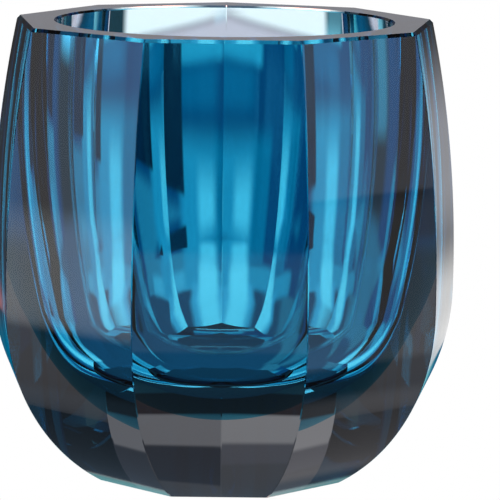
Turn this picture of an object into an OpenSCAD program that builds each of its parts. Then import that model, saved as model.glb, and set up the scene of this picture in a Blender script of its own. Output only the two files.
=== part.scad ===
// Cut crystal vase: a thick clear casing with tall flat-cut facets, fused over a lining of blue glass.
// Origin: the middle of the flat foot, on the axis. +Z up, -Y is the front, with one facet facing it.

/* [Body] */
// Height from the foot to the rim
height = 165; // [150:1:180]
// Number of tall facets cut round the body
facets = 9; // [7:2:11]
// Distance from the axis to a vertical edge at the belly
belly_r = 87.3; // [85:0.1:95]
// Height of the belly above the foot
belly_z = 72; // [66:1:80]
// Radius of the long vertical bow of each facet
bow_r = 427; // [400:1:600]
// Height where the long bow meets the foot curve
join_z = 64; // [56:1:66]
// Radius of the curve that carries each facet in to the foot
foot_curve_r = 76; // [74:0.5:80]
// Width of the polished bevel along the outer edge of the rim
rim_bevel = 1.2; // [0.5:0.1:2]

/* [Blue lining] */
// Clear glass under the lowest point of the lining
base_thick = 35; // [33:0.5:37]
// Outer radius of the lining at its widest
lining_r = 66.5; // [66:0.1:67.5]
// Height of the lining's widest ring
lining_widest_z = 98; // [94:1:104]
// Outer radius of the lining at the rim, where the blue runs out thin
lining_rim_r = 61.9; // [61.8:0.1:63]
// Radius of the round corner below the lining's wall
lining_corner_r = 56; // [52:1:58]
// Radius of the shallow curve across the lining's bottom
lining_bottom_r = 110; // [100:5:130]

/* [Cavity] */
// Thickness of the lining at the bottom of the cavity
lining_floor = 5; // [4.5:0.5:7]
// Radius of the cavity at its widest
cavity_r = 61.4; // [60.8:0.1:61.6]
// Height of the cavity's widest ring
cavity_widest_z = 145; // [140:1:150]
// Radius of the cavity at the rim
cavity_rim_r = 60.7; // [60:0.1:60.7]
// Radius of the corner between the cavity's wall and its floor
cavity_corner_r = 26; // [25:1:32]
// Radius of the shallow curve across the cavity's floor
cavity_bottom_r = 110; // [100:5:130]
// Width of the polished bevel round the mouth
mouth_bevel = 0.8; // [0.3:0.1:1]

/* [Hidden] */
$fn = 180;
// Steps along each arc of the vertical edges
bow_steps = 24;
foot_steps = 18;
wall_steps = 10;
corner_steps = 14;
bottom_steps = 6;
// How far the cutting shapes reach past the rim
clearance = 5;

// Radius of an arc that leaves the vertical and moves in by inset over a rise
function bow_for(inset, rise) = (inset * inset + rise * rise) / (2 * inset);

// Points on an arc between two angles above the horizontal
function arc(centre, r, from, to, steps) =
  [for (i = [0 : steps]) let (a = from + (to - from) * i / steps) centre + r * [cos(a), sin(a)]];

// Vertical edge: the foot curve's centre lies between the bow's centre and the join, so that they are tangent
bow_centre = [belly_r - bow_r, belly_z];
join_angle = asin((join_z - belly_z) / bow_r);
join_point = bow_centre + bow_r * [cos(join_angle), sin(join_angle)];
foot_centre = join_point - foot_curve_r * [cos(join_angle), sin(join_angle)];
foot_angle = -asin(foot_centre[1] / foot_curve_r);
bevel_angle = asin((height - rim_bevel - belly_z) / bow_r);
bevel_foot = bow_centre + bow_r * [cos(bevel_angle), sin(bevel_angle)];

// One vertical edge of the body, from the foot up to the rim bevel
module edge_outline() {
  polygon(concat(
    [[0, 0]],
    arc(foot_centre, foot_curve_r, foot_angle, join_angle, foot_steps),
    arc(bow_centre, bow_r, join_angle + (bevel_angle - join_angle) / bow_steps, bevel_angle, bow_steps - 1),
    [[bevel_foot[0] - rim_bevel, height], [0, height]]
  ));
}

// The outline turned in as many steps as there are facets, with the first vertical edge at the back
module faceted_body() {
  rotate([0, 0, -90])
    rotate_extrude($fn = facets) edge_outline();
}

// Round-bottomed cup, solid: a wall bowed in to the rim, a round corner and a shallow bottom, tangent arcs
// It stops at the rim, or goes lift further up as a cutting shape.
module cup(r, widest_z, rim_r, bottom_z, corner_r, bottom_r, lift = 0) {
  wall_r = bow_for(r - rim_r, height - widest_z);
  wall_centre = [r - wall_r, widest_z];
  bottom_centre = [0, bottom_z + bottom_r];
  // The corner's centre lies corner_r short of both other arcs, so that it is tangent to them
  to_wall = wall_r - corner_r;
  to_bottom = bottom_r - corner_r;
  apart = norm(bottom_centre - wall_centre);
  u = (bottom_centre - wall_centre) / apart;
  along = (to_wall * to_wall - to_bottom * to_bottom + apart * apart) / (2 * apart);
  aside = sqrt(to_wall * to_wall - along * along);
  corner_centre = wall_centre + along * u + aside * [u[1], -u[0]];
  wall_join = atan2(corner_centre[1] - wall_centre[1], corner_centre[0] - wall_centre[0]);
  bottom_join = atan2(corner_centre[1] - bottom_centre[1], corner_centre[0] - bottom_centre[0]);
  corner_step = (wall_join - bottom_join) / corner_steps;
  wall_top = asin((height - widest_z) / wall_r);
  wall_step = (wall_top - wall_join) / wall_steps;
  rotate_extrude()
    polygon(concat(
      arc(bottom_centre, bottom_r, -90, bottom_join, bottom_steps),
      arc(corner_centre, corner_r, bottom_join + corner_step, wall_join, corner_steps - 1),
      arc(wall_centre, wall_r, wall_join + wall_step, wall_top, wall_steps - 1),
      lift > 0 ? [[rim_r, height + lift]] : [],
      [[0, height + lift]]
    ));
}

module lining_outside(lift = 0) {
  cup(lining_r, lining_widest_z, lining_rim_r, base_thick, lining_corner_r, lining_bottom_r, lift);
}

module cavity() {
  cup(cavity_r, cavity_widest_z, cavity_rim_r, base_thick + lining_floor, cavity_corner_r, cavity_bottom_r,
      clearance);
  translate([0, 0, height - mouth_bevel])
    cylinder(2 * mouth_bevel, cavity_rim_r, cavity_rim_r + 2 * mouth_bevel);
}

module crystal_casing() {
  color([0.86, 0.90, 0.92, 0.45])
    difference() {
      faceted_body();
      lining_outside(clearance);
    }
}

module blue_lining() {
  color([0.05, 0.38, 0.60, 0.75])
    difference() {
      lining_outside();
      cavity();
    }
}

crystal_casing();
blue_lining();
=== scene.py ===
"""Cut crystal vase: nine flat-cut facets of clear crystal, cased over a lining of blue glass."""
import math

import bpy
from mathutils import Matrix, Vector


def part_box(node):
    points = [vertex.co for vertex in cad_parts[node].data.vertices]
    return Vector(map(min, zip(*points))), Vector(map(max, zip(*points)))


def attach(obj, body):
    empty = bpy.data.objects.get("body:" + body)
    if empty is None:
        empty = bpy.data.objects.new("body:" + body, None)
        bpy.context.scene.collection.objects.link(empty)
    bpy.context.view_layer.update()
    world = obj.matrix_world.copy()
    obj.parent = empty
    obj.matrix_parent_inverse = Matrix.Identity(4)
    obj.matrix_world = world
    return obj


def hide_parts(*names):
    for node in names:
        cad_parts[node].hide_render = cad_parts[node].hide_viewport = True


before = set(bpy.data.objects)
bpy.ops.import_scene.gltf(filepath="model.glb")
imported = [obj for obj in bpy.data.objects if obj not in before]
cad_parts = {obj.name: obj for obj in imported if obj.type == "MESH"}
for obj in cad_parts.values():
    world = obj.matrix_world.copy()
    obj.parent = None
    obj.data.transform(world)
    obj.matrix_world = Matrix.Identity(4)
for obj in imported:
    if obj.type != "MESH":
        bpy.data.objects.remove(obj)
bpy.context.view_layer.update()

MM = 0.001

# Sizes the frame gives: the foot stands at z = 0, and the back vertical edge lies on +Y
casing_low, casing_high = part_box("crystal_casing")
lining_low, lining_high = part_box("blue_lining")
HEIGHT = casing_high[2]
EDGE_R = casing_high[1]
# Cuts, as in the part: nine facets, each a long bow over the belly and a tight curve in to the foot
FACETS = 9
BELLY_Z = 72 * MM
BOW_R = 427 * MM
JOIN_Z = 64 * MM
FOOT_CURVE_R = 76 * MM
RIM_BEVEL = 1.2 * MM
MOUTH_BEVEL = 0.8 * MM

# Outside of the blue lining and the cavity inside it: radii at the widest ring and at the rim, heights of
# the widest ring and the bottom, and radii of the corner and the shallow bottom
LINING_FLOOR = 5 * MM
LINING = {"widest": lining_high[0], "widest_z": 98 * MM, "rim": 61.9 * MM,
          "bottom_z": lining_low[2], "corner_r": 56 * MM, "bottom_r": 110 * MM}
CAVITY = {"widest": 61.4 * MM, "widest_z": 145 * MM, "rim": 60.7 * MM,
          "bottom_z": lining_low[2] + LINING_FLOOR, "corner_r": 26 * MM, "bottom_r": 110 * MM}

# Finish: the polished flat along each vertical edge, and the seam between the two glasses
EDGE_FLAT = 0.25 * MM
SEAM = 0.02 * MM

# Glass: the crystal's index, and what the blue takes away at its skin and in a metre of its mass
CRYSTAL_IOR = 1.54
BLUE_SKIN = (0.23, 0.68, 0.866, 1)
BLUE = (0.0, 0.70, 0.80, 1)
BLUE_DENSITY = 40.0

WHITE = (1, 1, 1, 1)

# Mesh density
FACET_COLUMNS = 20
BOW_ROWS = 60
FOOT_ROWS = 44
WALL_ROWS = 40
CORNER_ROWS = 48
BOTTOM_ROWS = 14


# ---------------------------------------------------------------- outlines

def arc(centre, radius, start, end, steps):
    """Points (distance from the axis, height) along an arc, angles above the horizontal."""
    angles = [start + (end - start) * i / steps for i in range(steps + 1)]
    return [(centre[0] + radius * math.cos(a), centre[1] + radius * math.sin(a)) for a in angles]


def edge_outline():
    """One vertical edge of the casing, from the foot up to the rim bevel."""
    bow_centre = (EDGE_R - BOW_R, BELLY_Z)
    join = math.asin((JOIN_Z - BELLY_Z) / BOW_R)
    reach = BOW_R - FOOT_CURVE_R
    foot_centre = (bow_centre[0] + reach * math.cos(join), bow_centre[1] + reach * math.sin(join))
    foot = -math.asin(foot_centre[1] / FOOT_CURVE_R)
    top = math.asin((HEIGHT - RIM_BEVEL - BELLY_Z) / BOW_R)
    lower = arc(foot_centre, FOOT_CURVE_R, foot, join, FOOT_ROWS)
    upper = arc(bow_centre, BOW_R, join, top, BOW_ROWS)
    return lower + upper[1:]


def cup_outline(cup, top):
    """Round-bottomed cup from the rim down to the axis: a bowed wall, a corner and a shallow bottom."""
    inset, rise = cup["widest"] - cup["rim"], HEIGHT - cup["widest_z"]
    wall_r = (inset * inset + rise * rise) / (2 * inset)
    wall_centre = (cup["widest"] - wall_r, cup["widest_z"])
    bottom_centre = (0, cup["bottom_z"] + cup["bottom_r"])
    # The corner's centre lies corner_r short of both other arcs, so that it is tangent to them
    to_wall, to_bottom = wall_r - cup["corner_r"], cup["bottom_r"] - cup["corner_r"]
    apart = math.dist(wall_centre, bottom_centre)
    along = (to_wall ** 2 - to_bottom ** 2 + apart ** 2) / (2 * apart)
    aside = math.sqrt(to_wall ** 2 - along ** 2)
    ux = (bottom_centre[0] - wall_centre[0]) / apart
    uz = (bottom_centre[1] - wall_centre[1]) / apart
    corner_centre = (wall_centre[0] + along * ux + aside * uz,
                     wall_centre[1] + along * uz - aside * ux)
    wall_join = math.atan2(corner_centre[1] - wall_centre[1], corner_centre[0] - wall_centre[0])
    bottom_join = math.atan2(corner_centre[1] - bottom_centre[1], corner_centre[0] - bottom_centre[0])
    start = math.asin((top - cup["widest_z"]) / wall_r)
    wall = arc(wall_centre, wall_r, start, wall_join, WALL_ROWS)
    corner = arc(corner_centre, cup["corner_r"], wall_join, bottom_join, CORNER_ROWS)
    bottom = arc(bottom_centre, cup["bottom_r"], bottom_join, -math.pi / 2, BOTTOM_ROWS)
    return wall + corner[1:] + bottom[1:-1] + [(0, cup["bottom_z"])]


# ---------------------------------------------------------------- meshes

def facet_columns():
    """Columns round the body as (facet's direction, half its angle, share of the way from its middle)."""
    half = math.pi / FACETS
    columns = []
    for k in range(FACETS):
        middle = math.pi / 2 + (2 * k + 1) * half
        for i in range(FACET_COLUMNS + 1):
            columns.append((middle, half, 2 * i / FACET_COLUMNS - 1))
    return columns


def on_facet(column, edge_r, z):
    """Point of a column on the facet whose vertical edges stand edge_r from the axis."""
    middle, half, share = column
    apothem = edge_r * math.cos(half)
    across = share * (edge_r * math.sin(half) - EDGE_FLAT)
    return (apothem * math.cos(middle) - across * math.sin(middle),
            apothem * math.sin(middle) + across * math.cos(middle), z)


def on_circle(column, radius, z):
    """Point of a column at that radius, in the direction it has on the rim."""
    x, y, _ = on_facet(column, EDGE_R, z)
    scale = radius / math.hypot(x, y)
    return (x * scale, y * scale, z)


def ring_mesh(name, rings, sharp_rings, sharp_columns, sharp_up_to):
    """Closed skin over rings of equal length, where a ring of one point closes an end.

    The sharp columns run up to the band sharp_up_to.
    """
    points, starts = [], []
    for ring in rings:
        starts.append(len(points))
        points += ring
    count = max(len(ring) for ring in rings)
    faces, sharp_edges = [], set()
    for band, (low, high) in enumerate(zip(rings, rings[1:])):
        a, b = starts[band], starts[band + 1]
        for i in range(count):
            j = (i + 1) % count
            if len(low) == 1:
                faces.append((a, b + j, b + i))
            elif len(high) == 1:
                faces.append((a + i, a + j, b))
            else:
                faces.append((a + i, a + j, b + j, b + i))
            if i in sharp_columns and 0 < band < sharp_up_to:
                sharp_edges.add((a + i, b + i))
    for band in sharp_rings:
        a = starts[band]
        sharp_edges.update((a + i, a + (i + 1) % count) for i in range(count))
    mesh = bpy.data.meshes.new(name)
    mesh.from_pydata(points, [], faces)
    mesh.validate()
    mesh.polygons.foreach_set("use_smooth", [True] * len(faces))
    wanted = {tuple(sorted(pair)) for pair in sharp_edges}
    for edge in mesh.edges:
        edge.use_edge_sharp = tuple(sorted(edge.vertices)) in wanted
    mesh.update()
    piece = bpy.data.objects.new(name, mesh)
    bpy.context.collection.objects.link(piece)
    return piece


def cavity_outline(inset, top):
    """Wall of the cavity, moved into the glass by inset."""
    moved = {"widest": inset, "rim": inset, "bottom_z": -inset, "corner_r": inset, "bottom_r": inset}
    return cup_outline({key: value + moved.get(key, 0) for key, value in CAVITY.items()}, top)


def crystal_casing():
    """The whole faceted glass body, with its flat foot, rim and polished cavity."""
    columns = facet_columns()
    outline = edge_outline()
    rings = [[(0, 0, 0)]]
    rings += [[on_facet(c, r, z) for c in columns] for r, z in outline]
    rings.append([on_facet(c, outline[-1][0] - RIM_BEVEL, HEIGHT) for c in columns])
    rim = len(rings) - 1
    rings.append([on_circle(c, CAVITY["rim"] + MOUTH_BEVEL, HEIGHT) for c in columns])
    cavity = cavity_outline(0, HEIGHT - MOUTH_BEVEL)
    rings += [[on_circle(c, r, z) for c in columns] for r, z in cavity[:-1]]
    rings.append([(0, 0, cavity[-1][1])])
    step = FACET_COLUMNS + 1
    edges = {k * step for k in range(FACETS)} | {k * step + FACET_COLUMNS for k in range(FACETS)}
    return ring_mesh("crystal_casing_glass", rings, (1, rim - 1, rim, rim + 1, rim + 2), edges, rim)


def blue_lining():
    """Round-bottomed cup of blue glass, fused into the crystal just under the cavity's polished skin."""
    count = FACETS * FACET_COLUMNS
    angles = [math.pi / 2 + 2 * math.pi * i / count for i in range(count)]

    def ring(r, z):
        return [(r * math.cos(a), r * math.sin(a), z) for a in angles]

    top = HEIGHT - MOUTH_BEVEL - SEAM
    outside = cup_outline(LINING, top)
    inside = cavity_outline(SEAM, top)
    rings = [[(0, 0, outside[-1][1])]]
    rings += [ring(r, z) for r, z in reversed(outside[:-1])]
    rim = len(rings) - 1
    rings += [ring(r, z) for r, z in inside[:-1]]
    rings.append([(0, 0, inside[-1][1])])
    return ring_mesh("blue_lining_glass", rings, (rim, rim + 1), (), 0)


# ---------------------------------------------------------------- materials

class Socket:
    """A shader value that Python arithmetic turns into Math nodes."""

    def __init__(self, tree, socket):
        self.tree, self.socket = tree, socket

    def __mul__(self, other):
        return self.tree.node("ShaderNodeMath", {"operation": "MULTIPLY"}, {0: self, 1: other})

    __rmul__ = __mul__


class Tree:
    """Node tree that is written from its output backwards."""

    def __init__(self, holder):
        holder.use_nodes = True
        self.nodes, self.links = holder.node_tree.nodes, holder.node_tree.links
        self.nodes.clear()

    def node(self, kind, settings=None, inputs=None, output=0):
        made = self.nodes.new(kind)
        for key, value in (settings or {}).items():
            setattr(made, key, value)
        for key, value in (inputs or {}).items():
            if isinstance(value, Socket):
                self.links.new(value.socket, made.inputs[key])
            else:
                made.inputs[key].default_value = value
        return Socket(self, made.outputs[output]) if len(made.outputs) else made


def polish(tree, place):
    """Slow ripple that hand polishing leaves on cut glass."""
    ripple = tree.node("ShaderNodeTexNoise", inputs={"Vector": place, "Scale": 30.0, "Detail": 1.0})
    return tree.node("ShaderNodeBump", inputs={"Strength": 0.02, "Distance": 0.0002, "Height": ripple})


def clear_crystal():
    """Heavy clear crystal, polished, with faint wipe marks."""
    material = bpy.data.materials.new("clear_crystal")
    tree = Tree(material)
    place = tree.node("ShaderNodeTexCoord", output=3)
    wipes = tree.node("ShaderNodeTexNoise", inputs={"Vector": place, "Scale": 260.0, "Detail": 3.0})
    tree.node("ShaderNodeOutputMaterial", inputs={"Surface": tree.node("ShaderNodeBsdfPrincipled", inputs={
        "Base Color": WHITE,
        "Roughness": wipes * 0.01,
        "IOR": CRYSTAL_IOR,
        "Transmission Weight": 1.0,
        "Normal": polish(tree, place),
    })})
    return material


def blue_glass():
    """Blue glass fused to the crystal: light doesn't bend where the two meet, it only loses colour."""
    material = bpy.data.materials.new("blue_glass")
    tree = Tree(material)
    surface = tree.node("ShaderNodeBsdfPrincipled", inputs={
        "Base Color": BLUE_SKIN,
        "Roughness": 0.0,
        "IOR": 1.0,
        "Transmission Weight": 1.0,
    })
    body = tree.node("ShaderNodeVolumeAbsorption", inputs={"Color": BLUE, "Density": BLUE_DENSITY})
    tree.node("ShaderNodeOutputMaterial", inputs={"Surface": surface, "Volume": body})
    return material


def finish_pieces():
    casing = crystal_casing()
    casing.data.materials.append(clear_crystal())
    lining = blue_lining()
    lining.data.materials.append(blue_glass())
    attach(casing, "root")
    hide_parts("crystal_casing")
    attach(lining, "root")
    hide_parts("blue_lining")


# ---------------------------------------------------------------- studio

CHARCOAL = (0.05, 0.05, 0.055, 1)
# Painted contact shadow: a dark glowing sheet on the table under the foot, seen only through the glass
SHADE = (0.05, 0.09, 0.12, 1)
SHADE_R = 38 * MM

# Studio panels, later ones over earlier: left, right, softness, bottom, top, softness (degrees), colour.
# Compass 0 is straight behind the vase, +90 to its right; height 0 is level.
PANELS = (
    # Table around the vase in painted shade, dim blue-grey to the glass though white to the camera, and a
    # paler wall low on the right
    (-181, 181, 0.5, -91, -37, 2, (0.10, 0.15, 0.21, 1)),
    (25, 90, 6, -55, -37, 3, (0.38, 0.38, 0.41, 1)),
    # Strip that lights the flat rim, and the wall seen through the clear foot
    (-6, 6, 1.5, 3.5, 7.5, 0.7, (0.36, 0.36, 0.39, 1)),
    (-18, 18, 2, 8.3, 13.4, 0.3, (0.015, 0.01, 0.01, 1)),
    (-30, 0, 1, 13.6, 23, 0.5, (0.17, 0.17, 0.18, 1)),
    (0, 30, 1, 13.6, 23, 0.5, (0.11, 0.11, 0.12, 1)),
    (-30, 0, 1, 22, 30, 1, (0.06, 0.06, 0.07, 1)),
    (0, 30, 1, 23, 40, 1, (0.02, 0.02, 0.025, 1)),
    # Softboxes to the left and right
    (-130, -62, 6, -14, -3, 3, (1.6, 1.65, 1.7, 1)),
    (-130, -62, 6, -3, 13, 0.3, (0.80, 0.80, 0.84, 1)),
    (62, 130, 6, -25, -1.5, 2, (0.45, 0.45, 0.47, 1)),
    (62, 130, 6, -1.5, 13, 0.3, (0.75, 0.75, 0.80, 1)),
    # Backdrop and table behind the vase seen through the blue wall, painted with the vase's blue shadow and
    # its caustic light: deep at the sides, brightest low in the middle
    (-60, 60, 6, -38, -12.2, 1, (0.0, 0.14, 0.26, 1)),
    (-50, -8, 4, -38, -25, 1.0, (0.4, 0.55, 0.60, 1)),
    (-36, -8, 4, -38, -31, 2, (1.0, 1.0, 1.0, 1)),
    (5, 36, 5, -38, -29, 2, (0.3, 0.70, 0.75, 1)),
    (6, 21, 2, -29, -20.5, 1.0, (0.0, 0.40, 0.50, 1)),
    (-19, 8, 4, -38, -20.5, 1.5, (0.3, 0.75, 0.82, 1)),
    (-12, 13, 3, -46, -36, 2, (0.8, 0.95, 1.0, 1)),
    (-5, 7, 3, -40, -22.5, 1.5, (2.0, 1.5, 1.35, 1)),
    (-6, 8, 3, -46, -29, 3, (3.0, 1.75, 1.5, 1)),
    (-19, 12, 2, -16.8, -13.8, 0.4, (0.3, 0.80, 0.85, 1)),
    (-19, 8, 4, -19.2, -16.8, 0.9, (0.0, 0.30, 0.43, 1)),
    (-45, -15.5, 1, -23.9, -12.2, 0.3, (0.01, 0.035, 0.06, 1)),
    # White card that the far right facet mirrors
    (14, 20, 1, -9.5, -4, 2, (0.5, 0.5, 0.53, 1)),
    (9, 18.3, 0.7, -13.8, -10, 1.0, (1.0, 1.0, 1.0, 1)),
    # Light seen across the mouth through the far rim
    (-14, 13, 1, -11.4, -10.4, 0.4, (2.6, 0.90, 0.85, 1)),
    (-14, 13, 1, -10.4, -9.0, 0.2, (4.0, 1.6, 1.35, 1)),
)

# In front of the vase, where left and right are angles either way from straight behind it: a dim wall below
# eye level and a black one above it
FRONT_PANELS = (
    (150, 181, 5, -20, -4.5, 1.5, (0.35, 0.38, 0.40, 1)),
    (150, 181, 5, -4.5, 20, 0.5, (0.0, 0.0, 0.0, 1)),
)


def stage_sheet(name, points, height, behind_glass):
    """Flat sheet of the stage: white to the camera, and what behind_glass makes it to all other light."""
    mesh = bpy.data.meshes.new(name)
    mesh.from_pydata([(x, y, 0) for x, y in points], [], [tuple(range(len(points)))])
    sheet = bpy.data.objects.new(name, mesh)
    sheet.location.z = height
    bpy.context.collection.objects.link(sheet)
    material = bpy.data.materials.new(name)
    tree = Tree(material)
    glow = tree.node("ShaderNodeEmission", inputs={"Color": WHITE, "Strength": 1.0})
    seen = tree.node("ShaderNodeLightPath")
    tree.node("ShaderNodeOutputMaterial", inputs={
        "Surface": tree.node("ShaderNodeMixShader", inputs={0: seen, 1: behind_glass(tree), 2: glow})})
    mesh.materials.append(material)


def floor():
    """Pale table top, and a painted contact shadow under the foot. The glass sees past the top to the
    studio, which holds the table's glow and its painted shade by direction.
    """
    size = 30 * HEIGHT
    square = [(-size, -size), (size, -size), (size, size), (-size, size)]
    stage_sheet("table_top", square, -0.1 * MM, lambda tree: tree.node("ShaderNodeBsdfTransparent"))
    # Painted contact shadow: a dark nine-sided sheet under the foot, white to the camera and dark to all
    # other light
    turns = [math.pi / 2 + 2 * math.pi * k / FACETS for k in range(FACETS)]
    patch = [(SHADE_R * math.cos(a), SHADE_R * math.sin(a)) for a in turns]
    stage_sheet("shade_under_foot", patch, -0.05 * MM,
                lambda tree: tree.node("ShaderNodeEmission", inputs={"Color": SHADE, "Strength": 1.0}))


def studio_light():
    """Soft panels in a dark studio, with painted shade, shadow and caustic light on the table below level,
    placed by compass and height, and a white sweep for the camera.
    """
    world = bpy.data.worlds.new("studio")
    bpy.context.scene.world = world
    tree = Tree(world)
    way = tree.node("ShaderNodeTexCoord")
    x, y, z = (tree.node("ShaderNodeSeparateXYZ", inputs={0: way}, output=axis) for axis in range(3))
    degree = 180 / math.pi
    compass = tree.node("ShaderNodeMath", {"operation": "ARCTAN2"}, {0: x, 1: y}) * degree
    off_back = tree.node("ShaderNodeMath", {"operation": "ABSOLUTE"}, {0: compass})
    height = tree.node("ShaderNodeMath", {"operation": "ARCSINE"}, {0: z}) * degree

    def step(value, start, end):
        return tree.node("ShaderNodeMapRange", {"interpolation_type": "SMOOTHSTEP"},
                         {"Value": value, "From Min": start, "From Max": end})

    def span(value, low, high, soft):
        return step(value, low - soft, low + soft) * step(value, high + soft, high - soft)

    room = CHARCOAL
    for around, panels in ((compass, PANELS), (off_back, FRONT_PANELS)):
        for left, right, side_soft, low, high, soft, colour in panels:
            mask = span(around, left, right, side_soft) * span(height, low, high, soft)
            room = tree.node("ShaderNodeMix", {"data_type": "RGBA"},
                             {0: mask, 6: room, 7: colour}, output=2)
    light = tree.node("ShaderNodeBackground", inputs={"Color": room, "Strength": 1.0})
    sweep = tree.node("ShaderNodeBackground", inputs={"Color": WHITE, "Strength": 1.0})
    seen = tree.node("ShaderNodeLightPath")
    tree.node("ShaderNodeOutputWorld", inputs={
        "Surface": tree.node("ShaderNodeMixShader", inputs={0: seen, 1: light, 2: sweep})})


def camera():
    """Long lens a little above the rim, turned just off the front facet."""
    turn, distance, rise = math.radians(0.5), 5.986 * HEIGHT, 1.553 * HEIGHT
    aim_right, aim_up, roll = 0.061 * HEIGHT, 0.490 * HEIGHT, math.radians(0.652)
    data = bpy.data.cameras.new("camera")
    data.lens = 197.1
    data.sensor_width = 36
    data.clip_end = 60
    eye = bpy.data.objects.new("camera", data)
    bpy.context.collection.objects.link(eye)
    eye.location = (distance * math.sin(turn), -distance * math.cos(turn), rise)
    yaw = math.atan2(aim_right, distance)
    pitch = math.atan2(rise - aim_up, distance)
    eye.rotation_mode = "XYZ"
    heading = Matrix.Rotation(turn - yaw, 3, "Z")
    tilt = Matrix.Rotation(math.pi / 2 - pitch, 3, "X")
    lean = Matrix.Rotation(roll, 3, "Z")
    eye.rotation_euler = (heading @ tilt @ lean).to_euler()
    bpy.context.scene.camera = eye


finish_pieces()
floor()
studio_light()
camera()
scene = bpy.context.scene
scene.view_settings.view_transform = "Standard"
scene.cycles.max_bounces = 32
scene.cycles.transmission_bounces = 32
scene.cycles.transparent_max_bounces = 64
